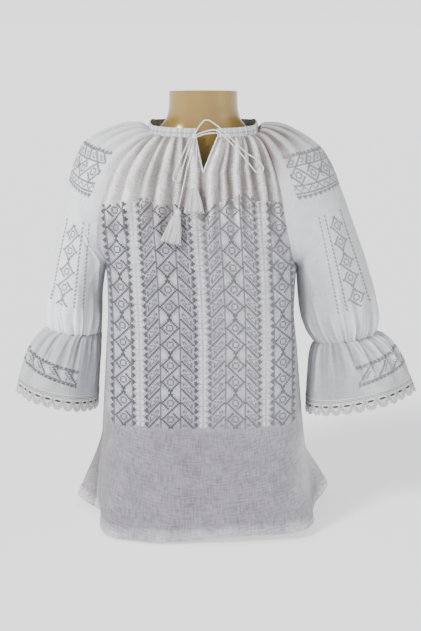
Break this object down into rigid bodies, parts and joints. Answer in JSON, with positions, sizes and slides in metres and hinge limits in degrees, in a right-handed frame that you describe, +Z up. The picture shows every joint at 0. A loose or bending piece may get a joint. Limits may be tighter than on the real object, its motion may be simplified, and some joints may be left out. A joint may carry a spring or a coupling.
{
  "type": "romanian ie blouse on a limbless dress form",
  "caption": "White gathered peasant blouse with raglan sleeves, ruffled lace-edged cuffs and a tasselled drawstring, standing on a smooth limbless dress form.",
  "frame": {"origin": "centre of the dress form's flat base", "axes": "+Z up, -Y the way the blouse faces, +X the wearer's left"},
  "size_m": [0.6538, 0.2729, 0.707],
  "materials": {
    "front_panel": "sheer slub linen, white",
    "back_panel": "sheer slub linen, white",
    "sleeve_left": "sheer slub linen, white",
    "sleeve_right": "sheer slub linen, white",
    "ruffle_left": "sheer slub linen, white",
    "ruffle_right": "sheer slub linen, white",
    "neckband": "sheer slub linen, white",
    "lace_left_front": "white crochet cotton",
    "lace_left_back": "white crochet cotton",
    "lace_right_front": "white crochet cotton",
    "lace_right_back": "white crochet cotton",
    "cord_bridge": "white cotton cord",
    "cord_loop_left": "white cotton cord",
    "cord_loop_right": "white cotton cord",
    "cord_tail_long": "white cotton cord",
    "cord_tail_short": "white cotton cord",
    "cord_knot": "white cotton cord",
    "tassel_long": "white cotton cord",
    "tassel_short": "white cotton cord",
    "dress_form": "glossy gold"
  },
  "bodies": {
    "root": {"front_panel": "front_panel", "back_panel": "back_panel", "sleeve_left": "sleeve_left", "sleeve_right": "sleeve_right", "ruffle_left": "ruffle_left", "ruffle_right": "ruffle_right", "neckband": "neckband", "lace_left_front": "lace_left_front", "lace_left_back": "lace_left_back", "lace_right_front": "lace_right_front", "lace_right_back": "lace_right_back", "cord_bridge": "cord_bridge", "cord_loop_left": "cord_loop_left", "cord_loop_right": "cord_loop_right", "cord_tail_long": "cord_tail_long", "cord_tail_short": "cord_tail_short", "cord_knot": "cord_knot", "tassel_long": "tassel_long", "tassel_short": "tassel_short", "dress_form": "dress_form"}
  },
  "joints": []
}
